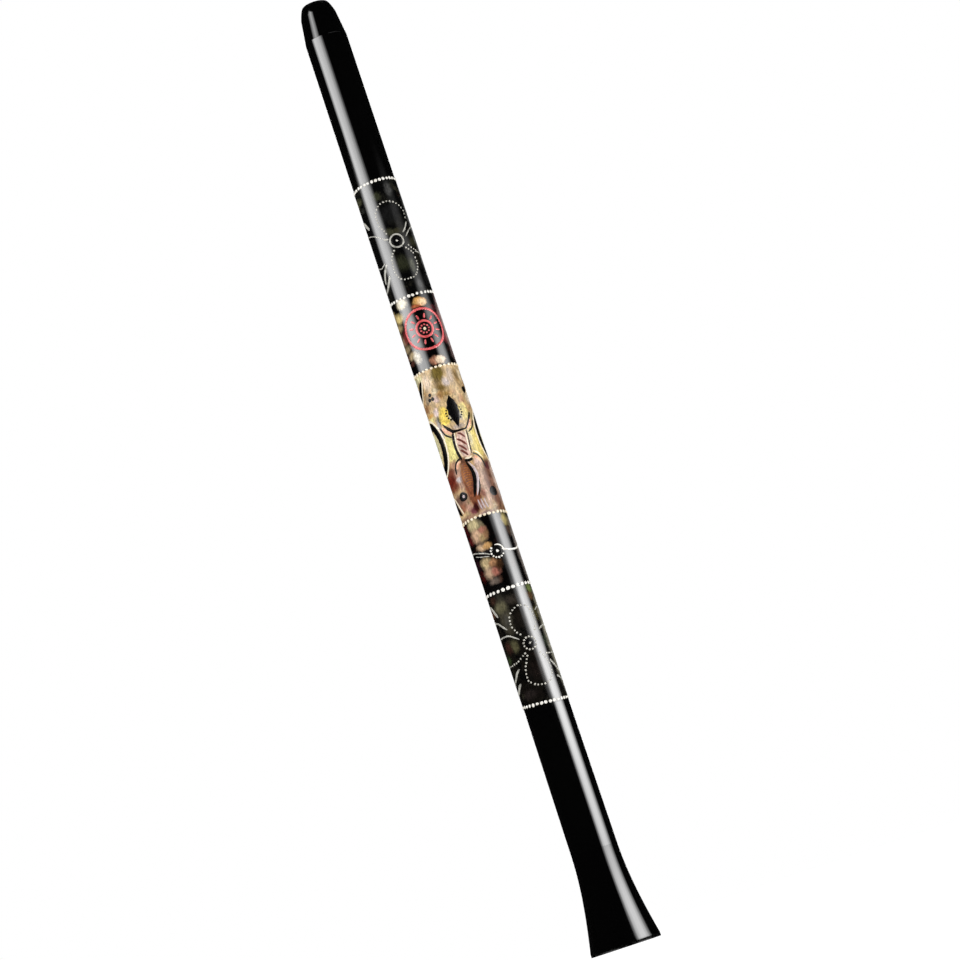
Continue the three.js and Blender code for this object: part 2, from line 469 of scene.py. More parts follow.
def make_bell(material):
    """The flare, on an upright band with a rounded rim."""
    bevel = 0.7 * MM
    bevel_steps = 5
    band_end = (RIM_RADIUS, RIM_BAND_HEIGHT - 0.6 * MM)
    flare_foot = (RIM_RADIUS - 0.1 * MM, RIM_BAND_HEIGHT + 0.3 * MM)
    joint = BELL_JOINT_Z - SEAM
    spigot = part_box("bell")[1].z
    spigot_bore = spigot_radius(spigot) - SPIGOT_WALL
    inner_rim = RIM_RADIUS - WALL
    throat = (BELL_JOINT_RADIUS, joint)
    inner_throat = (BELL_JOINT_RADIUS - WALL, joint - WALL)
    profile = curve((RIM_RADIUS - bevel, 0), (RIM_RADIUS, 0), (RIM_RADIUS, bevel), bevel_steps)
    profile += [(RIM_RADIUS, bevel), band_end]
    profile += curve(flare_foot, (FLARE_BEND_RADIUS, FLARE_BEND_Z), throat, 2 * CURVE_STEPS)
    profile += [throat, (spigot_radius(joint), joint)]
    profile += [(spigot_radius(spigot), spigot), (spigot_bore, spigot), (spigot_bore, joint)]
    bend = (FLARE_BEND_RADIUS - WALL, FLARE_BEND_Z)
    profile += curve(inner_throat, bend, (inner_rim, RIM_BAND_HEIGHT))
    profile += [(inner_rim, RIM_BAND_HEIGHT)]
    profile += curve((inner_rim, bevel), (inner_rim, 0), (inner_rim + bevel, 0), bevel_steps)
    profile += [(inner_rim + bevel, 0)]
    add_piece("bell_shell", *turned(profile), material, "black_plastic", ["bell"])


def make_film(node, lower_ring, upper_ring, material, slot):
    """A band of film whose ends follow the rings that cover them."""
    low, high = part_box(node)
    bottom, top = low.z, high.z
    bevel = 0.15 * MM
    inner = FILM_GAP
    outer = FILM_GAP + FILM_THICKNESS
    profile = [
        (tube_radius(bottom) + inner, bottom, lower_ring),
        (tube_radius(bottom) + outer - bevel, bottom, lower_ring),
        (tube_radius(bottom) + outer, bottom + bevel, lower_ring),
        (tube_radius(top) + outer, top - bevel, upper_ring),
        (tube_radius(top) + outer - bevel, top, upper_ring),
        (tube_radius(top) + inner, top, upper_ring),
    ]
    add_piece(node + "_print", *turned(profile), material, slot, [node])


# -------- marks of paint


class Marks:
    """Collects painted marks of one colour on the film into one mesh.

    Outlines and centrelines are lists of (angle in degrees, height in mm) points, and every
    mark is a closed mound whose foot lies just inside the film."""

    def __init__(self, seed):
        self.verts = []
        self.faces = []
        self.random = random.Random(seed)

    def jitter(self, amount):
        return self.random.uniform(-amount, amount)

    def mound(self, angle, z, outline, rings, crown, sides):
        """outline(direction) is the reach in metres from the middle, and rings are (share of
        the reach, lift) pairs from the foot to the top."""
        z = z * MM
        radius = film_radius(z)
        arc = math.radians(angle) * radius
        first = len(self.verts)
        for share, lift in rings:
            for i in range(sides):
                direction = TURN * i / sides
                reach = outline(direction) * share
                turn = (arc + reach * math.cos(direction)) / radius
                self.verts.append(on_film(turn, z + reach * math.sin(direction), lift))
        for ring in range(len(rings) - 1):
            here = first + ring * sides
            self.faces += quads(here, here + sides, sides)
        top = len(self.verts)
        self.verts.append(on_film(arc / radius, z, crown))
        foot = len(self.verts)
        self.verts.append(on_film(arc / radius, z, -SINK))
        last = first + (len(rings) - 1) * sides
        for i in range(sides):
            j = (i + 1) % sides
            self.faces.append((last + i, last + j, top))
            self.faces.append((first + j, first + i, foot))

    def dot(self, angle, z, radius, height, sides=14):
        """A rounded blob, slightly out of round, with radius and height in mm."""
        radius = radius * MM * (1 + self.jitter(0.12))
        height = height * MM * (1 + self.jitter(0.2))
        stretch = self.jitter(0.12)
        lean = self.random.uniform(0, TURN)

        def outline(direction):
            return radius * (1 + stretch * math.cos(2 * (direction - lean)))

        rings = [(1.0, -SINK), (0.97, 0.3 * height), (0.84, 0.62 * height)]
        rings += [(0.6, 0.85 * height), (0.3, 0.97 * height)]
        self.mound(angle, z, outline, rings, height, sides)

    def disc(self, angle, z, half_width, half_height, height):
        """A flat-topped oval of paint, slightly wavy at its edge, with its sizes in mm."""
        sides = 48
        phase = self.random.uniform(0, TURN)

        def outline(direction):
            wave = 1 + 0.02 * math.sin(3 * direction + phase) + 0.02 * math.sin(5 * direction)
            across = math.cos(direction) / half_width
            up = math.sin(direction) / half_height
            return wave * MM / math.hypot(across, up)

        lift = height * MM
        rings = [(1.0, -SINK), (0.99, 0.5 * lift), (0.95, 0.9 * lift), (0.7, lift), (0.35, lift)]
        self.mound(angle, z, outline, rings, lift, sides)

    def stroke(self, widths, points, height=0.25, taper=0.3, closed=False):
        """A brush stroke along a smooth line. widths is its width in mm, or one for each point,
        and taper is the share of its length that narrows at each end."""
        if not isinstance(widths, (list, tuple)):
            widths = [widths] * len(points)
        places = unrolled(points)
        controls = [(u, v, width * MM) for (u, v), width in zip(places, widths)]
        line = smooth_line(controls, 0.9 * MM, closed)
        count = len(line)
        sections = [(-1.0, -1.0), (-0.94, 0.5), (-0.7, 0.88), (-0.3, 1.0), (0.0, 1.0)]
        sections += [(0.3, 1.0), (0.7, 0.88), (0.94, 0.5), (1.0, -1.0)]
        first = len(self.verts)
        phase = self.random.uniform(0, TURN)
        for i, (u, v, width) in enumerate(line):
            before = line[i - 1] if closed else line[max(i - 1, 0)]
            after = line[(i + 1) % count] if closed else line[min(i + 1, count - 1)]
            length = math.hypot(after[0] - before[0], after[1] - before[1])
            side = ((before[1] - after[1]) / length, (after[0] - before[0]) / length)
            swell = 1.0 if closed else end_swell(i / (count - 1), taper)
            half = width / 2 * swell * (1 + 0.06 * math.sin(0.7 * i + phase))
            for across, lift in sections:
                lift = -SINK if lift < 0 else lift * height * MM * (0.3 + 0.7 * swell)
                z = v + side[1] * half * across
                self.verts.append(on_film((u + side[0] * half * across) / film_radius(z), z, lift))
        size = len(sections)
        for i in range(count if closed else count - 1):
            self.faces += quads(first + i * size, first + (i + 1) % count * size, size)
        if not closed:
            last = first + (count - 1) * size
            self.faces.append(tuple(first + k for k in range(size)))
            self.faces.append(tuple(last + k for k in reversed(range(size))))

    def strokes(self, rows, height=0.25, taper=0.3):
        """Each (widths, points) row as a stroke on the front and another at the back."""
        for widths, points in rows:
            for copy in repeated(points):
                self.stroke(widths, copy, height, taper)

    def dotted(self, points, pitch, radius):
        """A row of dots along a smooth line, with all sizes in mm."""
        for u, v in smooth_line(unrolled(points), pitch * MM):
            u += self.jitter(0.1) * pitch * MM
            v += self.jitter(0.1) * pitch * MM
            self.dot(math.degrees(u / film_radius(v)), v / MM, radius, 0.5)

    def circle(self, angle, z, radius, count, dot_radius, height=0.5, start=0, end=360):
        """A ring of dots round a point, from one direction to another."""
        for i in range(count):
            direction = start + (end - start) * i / count
            self.dot(*around(angle, z, radius, radius, direction), dot_radius, height)

    def loop(self, angle, z, half_width, half_height, widths, height=0.25):
        """A closed oval line round a point. widths alternates from its sides to its ends."""
        directions = range(0, 360, 15)
        points = [around(angle, z, half_width, half_height, direction) for direction in directions]
        at_side, at_end = widths
        swing = [abs(math.sin(math.radians(direction))) for direction in directions]
        self.stroke([at_side + (at_end - at_side) * s for s in swing], points, height, closed=True)

    def build(self, name, material, slot):
        return add_piece(name, self.verts, self.faces, material, slot)


def around(angle, z, half_width, half_height, direction):
    """The (angle, height) of a point on an oval, direction degrees round from its right."""
    turn = math.radians(direction)
    reach = film_radius(z * MM) / MM
    aside = math.degrees(half_width * math.cos(turn) / reach)
    return (angle + aside, z + half_height * math.sin(turn))


def unrolled(points):
    """Points given by angle and height, as lengths in metres round and up the film."""
    return [(math.radians(angle) * film_radius(z * MM), z * MM) for angle, z in points]


def end_swell(along, taper):
    """How wide a stroke is, from 0.1 at its ends to 1 past the taper."""
    share = min(1.0, along / taper, (1 - along) / taper)
    return 0.1 + 0.9 * math.sqrt(share * (2 - share))


def smooth_line(points, step, closed=False):
    """Evenly spaced points on a smooth curve through the given ones."""
    if closed:
        padded = [points[-1], *points, points[0], points[1]]
    else:
        padded = [points[0], *points, points[-1]]
    dense = []
    parts = 12
    for i in range(1, len(padded) - 2):
        for k in range(parts):
            corners = zip(*padded[i - 1 : i + 3])
            dense.append(tuple(catmull(*values, k / parts) for values in corners))
    dense.append(tuple(padded[-2]))
    distances = [0.0]
    for before, after in zip(dense, dense[1:]):
        distances.append(distances[-1] + math.dist(before[:2], after[:2]))
    total = distances[-1]
    spans = max(2, round(total / step))
    line = []
    k = 0
    for i in range(spans if closed else spans + 1):
        wanted = total * i / spans
        while k < len(dense) - 2 and distances[k + 1] < wanted:
            k += 1
        t = (wanted - distances[k]) / max(distances[k + 1] - distances[k], 1e-9)
        line.append(tuple(a + (b - a) * t for a, b in zip(dense[k], dense[k + 1])))
    return line


def catmull(a, b, c, d, t):
    bend = (2 * a - 5 * b + 4 * c - d) * t * t
    twist = (3 * b - a - 3 * c + d) * t * t * t
    return 0.5 * (2 * b + (c - a) * t + bend + twist)


def repeated(points):
    """The points of a mark on the front, and those of its copy at the back."""
    return [[(angle + turn, z) for angle, z in points] for turn in (0, 180)]


# -------- the dotted rings


def make_dot_ring(ring, material):
    marks = Marks(ring.dots)
    for i in range(ring.dots):
        angle = ring.first + 360 * i / ring.dots + marks.jitter(0.8)
        z = ring.height + ring.wave(math.radians(angle))
        marks.dot(angle, z / MM + marks.jitter(0.3), ring.dot_radius, 0.95, sides=18)
    piece = marks.build(ring.node + "_paint", material, "dot_paint")
    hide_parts(ring.node)


# -------- the flower bands

UPPER_EYE = (10.5, 948, 6.5, False)
UPPER_DOT_ROWS = [
    (
        4.7,
        [
            (-10, 961), (-14, 966), (-22, 974), (-22, 988), (-12, 998),
            (5, 1002.5), (25, 1002), (45, 997), (59, 989), (60, 978),
        ],
    ),
    (
        4.2,
        [
            (-4, 936), (-11, 932), (-18, 923), (-20, 908), (-8, 897),
            (15, 895), (33, 899), (46, 910), (47, 921),
        ],
    ),
    (4.6, [(28, 936), (36, 933), (45, 928)]),
    (4.6, [(38, 939), (48, 934), (58, 931)]),
    (4.0, [(-19, 954), (-12, 953)]),
]
UPPER_STROKES = [
    (2.0, [(33, 957), (45, 963), (58, 972)]),
    (1.8, [(38, 951), (50, 957), (63, 962), (76, 965), (91, 970)]),
    (1.4, [(-90, 970), (-65, 967.5), (-45, 964), (-25, 957), (-14, 953)]),
    (5.0, [(-100, 988), (-80, 988), (-68, 983), (-57, 976)]),
    (1.5, [(-91, 927), (-62, 922), (-50, 923), (-38, 926)]),
    (1.8, [(52, 930), (66, 929), (89, 927)]),
    (4.0, [(-35, 923), (-48, 916), (-58, 908), (-63, 900)]),
    (4.2, [(-37, 908), (-50, 899), (-63, 893), (-84, 890)]),
]

LOWER_EYE = (10, 397, 5.8, True)
LOWER_DOT_ROWS = [
    (
        4.7,
        [
            (-6, 411), (-19, 420), (-22, 428), (-17, 438), (-2, 444.5),
            (14, 447), (30, 444), (42, 435), (42, 421), (34, 412),
        ],
    ),
    (
        4.6,
        [
            (-6, 382), (-13, 376), (-22, 365), (-23, 353), (-9, 345),
            (12, 342), (32, 346), (43, 356), (42, 369), (28, 382),
        ],
    ),
    (4.6, [(-10, 386), (-27, 381), (-45, 378), (-58, 377)]),
    (4.0, [(45, 379), (56, 379)]),
]
LOWER_STROKES = [
    (1.5, [(-90, 378), (-75, 377.5), (-60, 377)]),
    (1.9, [(-12, 405), (-22, 409), (-38, 414), (-60, 415), (-91, 414)]),
    (2.6, [(-35, 422), (-48, 428), (-62, 434), (-91, 437)]),
    (4.6, [(-52, 441), (-62, 449), (-74, 456), (-98, 458)]),
    (3.6, [(-37, 370), (-50, 366), (-62, 360), (-90, 352)]),
    (4.6, [(-48, 352), (-60, 348), (-72, 343), (-98, 340)]),
    (1.9, [(46, 411), (58, 414), (72, 416), (89, 414)]),
    (1.6, [(54, 436), (70, 440), (89, 437)]),
    (3.6, [(50, 371), (60, 364), (72, 358), (90, 352)]),
    (2.6, [(56, 349), (68, 346), (82, 342)]),
    (1.5, [(60, 379), (76, 379), (91, 378)]),
]


def make_flower(name, slot, eye, dot_rows, strokes, seed):
    """Two dotted petals above and below a dark eye, between dotted stems and brushed leaves."""
    dots = Marks(seed)
    leaves = Marks(seed + 1)
    eyes = Marks(seed + 2)
    angle, z, radius, dotted = eye
    for pitch, points in dot_rows:
        for copy in repeated(points):
            dots.dotted(copy, pitch, 1.25)
    leaves.strokes(strokes)
    for turn in (0, 180):
        eyes.disc(angle + turn, z, radius, radius, 0.18)
        dots.dot(angle + turn, z, 1.5, 0.6)
        if dotted:
            dots.circle(angle + turn, z, radius + 2.5, 13, 1.3)
        else:
            loop_radius = radius + 2.3
            leaves.loop(angle + turn, z, loop_radius, loop_radius, (2.2, 2.2), 0.3)
    dots.build(name + "_dots", PALE_PAINT, "dot_paint")
    leaves.build(name + "_leaves", GREY_PAINT, slot)
    eyes.build(name + "_eyes", BLACK_PAINT, slot)


# -------- the amber band


def make_sun(angle, z):
    """A plain sun: a ring of red dots round twelve rays, a red circle and a dark heart."""
    rim_radius = 27.2
    circle_radius = 10.8
    rays = 12
    red = Marks(60)
    dark = Marks(61)
    pale = Marks(62)
    for turn in (0, 180):
        a = angle + turn
        red.circle(a, z, rim_radius, 46, 1.9, 0.45)
        red.loop(a, z, rim_radius, rim_radius, (2.8, 2.8), 0.3)
        red.loop(a, z, circle_radius, circle_radius, (3, 3))
        for ray in range(rays):
            heading = 360 / rays * ray + 15
            points = [around(a, z, reach, reach, heading) for reach in (14.2, 17.5, 21)]
            red.stroke(2.5, points, 0.25, 0.45)
        dark.disc(a, z, 9.2, 9.2, 0.12)
        red.circle(a, z, 5.6, 9, 1.2, 0.35)
        pale.dot(a, z, 1.8, 0.5)
    red.build("sun_lines", RED_PAINT, "amber_film")
    dark.build("sun_heart", BLACK_PAINT, "amber_film")
    pale.build("sun_centre", CREAM_PAINT, "amber_film")


# -------- the wave band

FAINT_WAVE_LINES = [
    (1.6, [(-84, 529.5), (-65, 529), (-42, 526), (-26, 523), (-15, 520)]),
    (1.1, [(-62, 524.5), (-42, 521), (-18, 518)]),
]
BRIGHT_WAVE_LINES = [
    (2.4, [(17, 522.5), (34, 520), (52, 519), (70, 520.5), (84, 524), (96, 529.5)]),
]


def make_wave(angle, z):
    """A dark eye, half ringed with dots, on a pale line that waves round the tube."""
    ring_radius = 8.4
    dark = Marks(70)
    pale = Marks(71)
    faint = Marks(72)
    for turn in (0, 180):
        a = angle + turn
        dark.disc(a, z, 6.0, 6.0, 0.2)
        pale.dot(a, z, 1.9, 0.6)
        directions = (-15, 10, 40, 70, 100)
        arc = [around(a, z, ring_radius, ring_radius, direction) for direction in directions]
        pale.stroke(1.8, arc, 0.3)
        pale.circle(a, z, ring_radius, 8, 1.3, 0.5, 140, 345)
    faint.strokes(FAINT_WAVE_LINES, 0.3, 0.12)
    pale.strokes(BRIGHT_WAVE_LINES, 0.3, 0.12)
    dark.build("wave_eyes", BLACK_PAINT, "wave_film")
    faint.build("wave_faint_lines", GREY_PAINT, "wave_film")
    pale.build("wave_lines", WHITE_PAINT, "dot_paint")


# -------- the central band

DARK_MOTIF = [
    # A seed with two pointed ends, over a dish of two lines.
    (
        [1, 8, 14, 15.4, 11, 6, 1],
        [(11, 733), (11, 727), (11, 719), (11, 710), (11, 702), (11, 695), (11, 689)],
    ),
    (
        [2, 4, 4.6, 3.4, 2.6, 2.4, 3, 5],
        [(-29, 700), (-18, 692), (-8, 686), (2, 685), (18, 685), (29, 686), (42, 694), (56, 706)],
    ),
    (2.4, [(-38, 696), (-29, 685), (-13, 678.5)]),
    (2.4, [(58, 695), (47, 685), (31, 680)]),
    # The edges and the foot of the hatched panel.
    ([4, 3.4, 3.4, 4], [(-9, 684), (-13, 671), (-13, 659), (-8, 647)]),
    (1.6, [(28, 684), (25, 668), (21, 651)]),
    ([3, 4, 3], [(-2, 645), (9, 644), (20, 645)]),
    # Two arches and a long leaf.
    (2.4, [(-9, 650), (-22, 647), (-31, 640), (-33, 631)]),
    (2.4, [(23, 652), (36, 648), (45, 641), (49, 631)]),
    ([3, 4.4, 5.4, 4.2, 3], [(0, 643), (8, 631), (8, 618), (-1, 604), (-6, 596)]),
    (2.0, [(19, 618), (13, 605), (5, 596)]),
    # Leaves that reach round the sides, and a short one on the right.
    ([1, 8, 13, 15, 14, 6], [(-50, 763), (-57, 758), (-66, 751), (-77, 746), (-88, 744), (-99, 744)]),
    ([3, 8, 11, 10, 5], [(-60, 580), (-71, 586), (-81, 593), (-90, 597), (-99, 599)]),
    ([3, 9, 8, 3], [(58, 735), (63, 736), (70, 738), (77, 741)]),
]
DARK_SPOTS = [
    (-41, 735, 2.5, 2.5),
    (-31, 735, 2.5, 2.5),
    (-36, 741, 2.5, 2.5),
    (-36, 602, 6.6, 6.0),
    (49, 598, 6.6, 6.6),
]
PALE_MOTIF = [
    (1.8, [(-4, 684), (-8, 671), (-8, 660), (-3, 650)]),
    (2.2, [(0, 648), (10, 647), (19, 648.5)]),
    (1.6, [(23, 683), (20.5, 668), (18, 652)]),
    (2.6, [(-45, 764), (-56, 752), (-68, 741), (-86, 734)]),
    (2.8, [(-52, 581), (-60, 590), (-72, 602), (-88, 608)]),
    (1.4, [(27, 655), (39, 651), (50, 643)]),
]
RUST_MOTIF = [
    (3.0, [(-4, 675), (6, 671), (17, 664)]),
    (2.6, [(-5, 667), (3, 663.5), (13, 657)]),
    (3.0, [(-4, 660), (4, 656), (12, 650.5)]),
    (2.6, [(2, 682), (10, 680), (19, 674)]),
]
PEACH_MOTIF = [
    (4.5, [(-32, 695), (-23, 688), (-10, 683)]),
    (4.0, [(50, 697), (42, 689.5), (31, 684.5)]),
    (3.4, [(-12, 646), (-22, 643), (-27, 637)]),
    (3.6, [(24, 647), (34, 644), (41, 638)]),
]


def make_motif():
    """An abstract stack: a seed in two dotted arcs, a dish, a hatched panel, arches and a leaf."""
    dark = Marks(80)
    pale = Marks(81)
    rust = Marks(82)
    peach = Marks(83)
    lilac = Marks(84)
    dark.strokes(DARK_MOTIF, 0.2, 0.2)
    pale.strokes(PALE_MOTIF, 0.22)
    rust.strokes(RUST_MOTIF, 0.22)
    peach.strokes(PEACH_MOTIF, 0.22)
    for turn in (0, 180):
        for angle, z, half_width, half_height in DARK_SPOTS:
            dark.disc(angle + turn, z, half_width, half_height, 0.18)
        lilac.disc(-34 + turn, 602, 2.0, 2.0, 0.3)
        for start in (-50, 130):
            dark.circle(11 + turn, 709, 10.4, 6, 1.3, 0.18, start, start + 120)
        side = -80 + turn
        dark.loop(side, 674, 16.2, 30, (8.4, 11), 0.2)
        pale.loop(side, 674, 22, 37.4, (2.2, 3))
        for i in range(11):
            z = 641 - 3.2 * i
            reach = 4 + 7 * math.sin(math.pi * (i + 0.6) / 12)
            vein = [(-7 - reach + turn, z - 1), (-7 + turn, z), (-7 + reach + turn, z - 2)]
            rust.stroke(1.1, vein, 0.14)
        for foot in (-1, 7, 15):
            root = [(foot + turn, 592), (foot + 1 + turn, 585), (foot + 4 + turn, 578)]
            lilac.stroke(1.7, root, 0.2)
        band = [(5, 643), (15, 632), (17, 621), (9, 607), (1, 597)]
        lilac.stroke([1.5, 3, 3.4, 3, 2], [(angle + turn, z) for angle, z in band], 0.28)
    dark.build("motif_dark_strokes", BLACK_PAINT, "motif_film")
    pale.build("motif_pale_strokes", CREAM_PAINT, "motif_film")
    rust.build("motif_rust_strokes", RUST_PAINT, "motif_film")
    peach.build("motif_peach_strokes", PEACH_PAINT, "motif_film")
    lilac.build("motif_lilac_strokes", LILAC_PAINT, "motif_film")


# -------- the prints, with washes of painted sheen and painted highlight

UPPER_FLOWER_WASHES = [
    (-68, 1016, 12, 8, (70, 70, 50), 0.8),
    (-84, 1012, 7, 12, (140, 138, 112), 0.6),
    (-60, 1003, 8, 5, (50, 50, 46), 0.6),
    (-4, 1012, 7, 9, (60, 62, 44), 0.8),
    (16, 985, 16, 18, (24, 24, 24), 0.8),
    # This grey wash and those at 30 and 34 degrees lower down are a painted highlight: a faint column
    # where a second reflection falls.
    (33, 1018, 7, 12, (74, 74, 72), 0.7),
    (0, 962, 9, 7, (56, 56, 40), 0.8),
    (22, 961, 10, 6, (52, 50, 34), 0.8),
    (8, 917, 13, 16, (40, 42, 28)),
    (30, 912, 5, 14, (86, 88, 72), 0.7),
    (60, 943, 10, 9, (50, 50, 34), 0.8),
    (34, 885, 6, 9, (84, 84, 84), 0.6),
    (60, 890, 9, 12, (18, 18, 18), 0.8),
    # A painted sheen: a pale band down the right edge of the band, repeated at the back.
    (88, 950, 13, 100, (136, 136, 134), 0.8),
]
AMBER_WASHES = [
    (-60, 851, 15, 9, (214, 190, 126), 1.0, 0.75, -8),
    (-80, 858, 8, 8, (178, 154, 108), 0.9),
    (-72, 839, 15, 8, (166, 146, 104), 0.95),
    (-80, 829, 10, 6, (132, 112, 84), 0.9),
    (-33, 866, 11, 9, (204, 192, 162), 1.0, 0.6),
    (-68, 820, 14, 8, (152, 120, 98), 0.95),
    (-55, 824, 6, 13, (112, 46, 42), 0.95),
    (-66, 809, 14, 7, (158, 138, 104), 0.95),
    (-52, 798, 12, 7, (186, 164, 126), 0.95),
    (-38, 793, 9, 10, (200, 190, 168)),
    (-62, 789, 9, 5, (80, 46, 36), 0.8),
    (-78, 798, 9, 6, (124, 92, 76), 0.85),
    (14, 863, 10, 7, (216, 164, 96), 1.0, 0.5),
    (22, 861, 8, 7, (246, 206, 158), 1.0, 0.6),
    (5, 857, 9, 4, (176, 96, 60), 0.9),
    (7, 782, 9, 8, (166, 114, 88), 1.0, 0.6),
    (22, 781, 9, 8, (236, 212, 182), 1.0, 0.6),
    (46, 851, 11, 7, (70, 18, 22), 0.85),
    (62, 840, 8, 8, (110, 48, 56), 0.9),
    (60, 808, 9, 9, (112, 50, 54), 0.9),
    (68, 785, 8, 6, (44, 32, 30), 0.7),
    # A painted sheen: a pale band down the right edge of the band, repeated at the back.
    (84, 824, 14, 70, (182, 154, 150), 0.85),
]
MOTIF_WASHES = [
    # The upper part.
    (-78, 765, 13, 9, (190, 188, 150)),
    (-54, 766, 7, 9, (226, 218, 172), 0.95, 0.75, 30),
    (-34, 757, 10, 15, (226, 202, 174)),
    (0, 763, 10, 15, (118, 100, 48), 1.0, 0.45),
    (-7, 752, 8, 10, (126, 104, 70), 0.8),
    (-2, 744, 9, 9, (116, 92, 46)),
    (17, 751, 7, 9, (204, 190, 184)),
    (32, 758, 7, 16, (190, 170, 152), 0.85),
    (52, 756, 9, 17, (134, 108, 68)),
    (78, 758, 14, 14, (206, 188, 156), 0.9),
    (-22, 733, 7, 7, (206, 180, 176), 0.8),
    (-8, 736, 8, 8, (164, 124, 74)),
    (10, 736, 9, 5, (150, 120, 70)),
    (24, 736, 7, 5, (206, 168, 126)),
    (-50, 736, 7, 9, (148, 132, 112), 0.9),
    (44, 723, 8, 12, (176, 132, 96), 0.9),
    (62, 722, 8, 10, (172, 146, 102), 0.9),
    (82, 726, 14, 14, (232, 218, 196), 0.9),
    (-66, 726, 13, 8, (142, 102, 68)),
    (-58, 716, 11, 5, (196, 150, 84)),
    (-64, 710, 14, 5, (222, 212, 146)),
    (-33, 716, 7, 9, (212, 192, 188)),
    (-34, 705, 6, 9, (84, 80, 54), 1.0),
    # Yellow fields beside the bowl and the panel.
    (-27, 664, 10, 26, (228, 216, 140), 1.0, 0.4),
    (45, 664, 12, 30, (228, 206, 122), 1.0, 0.4),
    (31, 672, 5, 16, (210, 198, 158)),
    (-15, 708, 9, 15, (238, 208, 92), 1.0, 0.4),
    (38, 708, 9, 14, (218, 200, 128), 1.0, 0.4),
    (2, 705, 6, 9, (206, 200, 176)),
    (23, 704, 5, 9, (182, 178, 166)),
    (58, 700, 6, 10, (152, 134, 88), 0.9),
    (11, 690, 12, 6, (176, 160, 150)),
    (-40, 690, 5, 22, (206, 198, 200), 0.9),
    (-81, 675, 14, 26, (214, 206, 160), 1.0, 0.35),
    (99, 675, 14, 26, (214, 206, 160), 1.0, 0.35),
    (9, 666, 10, 21, (214, 182, 168), 1.0, 0.3),
    # The darker lower part.
    (-62, 628, 30, 24, (120, 66, 48), 1.0, 0.5),
    (-62, 626, 20, 11, (98, 34, 24), 0.95),
    (-58, 596, 26, 16, (126, 96, 80), 1.0, 0.6),
    (-28, 626, 9, 26, (186, 150, 130)),
    (-31, 645, 8, 8, (178, 134, 104)),
    (-31, 624, 6, 5, (214, 204, 204)),
    (-6, 612, 11, 44, (132, 78, 52), 1.0, 0.4),
    (-5, 645, 9, 7, (96, 62, 48), 0.9),
    (-8, 625, 7, 20, (156, 100, 56), 0.9, 0.4),
    (4, 612, 5, 18, (112, 58, 48), 0.8),
    # Partly a painted highlight: a pale column where the right-hand reflection falls.
    (27, 612, 8, 44, (188, 156, 134), 1.0, 0.4),
    (33, 640, 7, 8, (208, 176, 162)),
    (60, 608, 17, 46, (118, 82, 66), 1.0, 0.4),
    (57, 632, 9, 9, (90, 46, 48), 0.95),
    (66, 645, 10, 7, (186, 158, 106), 0.9),
    (60, 613, 9, 6, (140, 102, 84)),
    # A painted sheen: a pale band down the right edge of the band, repeated at the back.
    (84, 612, 13, 44, (212, 188, 172), 0.9, 0.6),
    (16, 598, 6, 9, (150, 100, 84)),
    (-48, 588, 10, 10, (148, 96, 72)),
    (-28, 585, 8, 8, (186, 142, 124)),
    (-48, 573, 30, 7, (140, 108, 88), 0.95),
    (12, 572, 16, 6, (164, 136, 132), 0.9),
    (62, 574, 22, 7, (120, 86, 64), 0.95),
    (6, 583, 9, 10, (160, 128, 120), 0.85),
    (-19, 579, 7, 7, (108, 58, 62), 1.0, 0.6),
    (-10, 583, 5, 10, (58, 14, 12), 1.0, 0.6),
]
WAVE_WASHES = [
    (-66, 560, 11, 12, (56, 10, 12)),
    (-60, 545, 12, 8, (72, 12, 14)),
    (-66, 512, 12, 12, (36, 12, 20)),
    (-62, 497, 12, 11, (58, 8, 6)),
    (-84, 543, 8, 9, (110, 92, 84), 0.7),
    (-35, 563, 13, 11, (200, 184, 138), 1.0, 0.75),
    (-12, 560, 4, 9, (134, 122, 92), 0.85, 0.75, 20),
    (-34, 548, 13, 13, (200, 164, 132), 1.0, 0.75),
    (-15, 554, 7, 7, (166, 110, 90)),
    (-19, 544, 8, 8, (164, 138, 94)),
    (-9, 546, 5, 9, (132, 98, 68)),
    (-31, 532, 11, 7, (196, 164, 130), 1.0, 0.75),
    (-17, 532, 8, 6, (186, 142, 88), 1.0, 0.6),
    (-34, 511, 12, 11, (190, 168, 126), 1.0, 0.75),
    (-15, 509, 8, 8, (172, 126, 88)),
    (-32, 498, 12, 11, (180, 150, 124), 1.0, 0.75),
    (-14, 497, 9, 8, (166, 104, 88)),
    (-25, 486, 11, 6, (112, 98, 88), 0.9),
    (-9, 486, 5, 6, (70, 48, 38), 0.8),
    (54, 560, 8, 13, (168, 152, 98)),
    (58, 544, 8, 10, (72, 56, 44)),
    (70, 556, 8, 10, (124, 112, 80), 0.9),
    (-2, 505, 7, 12, (64, 40, 20), 0.8),
    # A painted sheen: a pale band down the right edge of the band, repeated at the back.
    (84, 520, 13, 70, (160, 150, 142), 0.8),
]
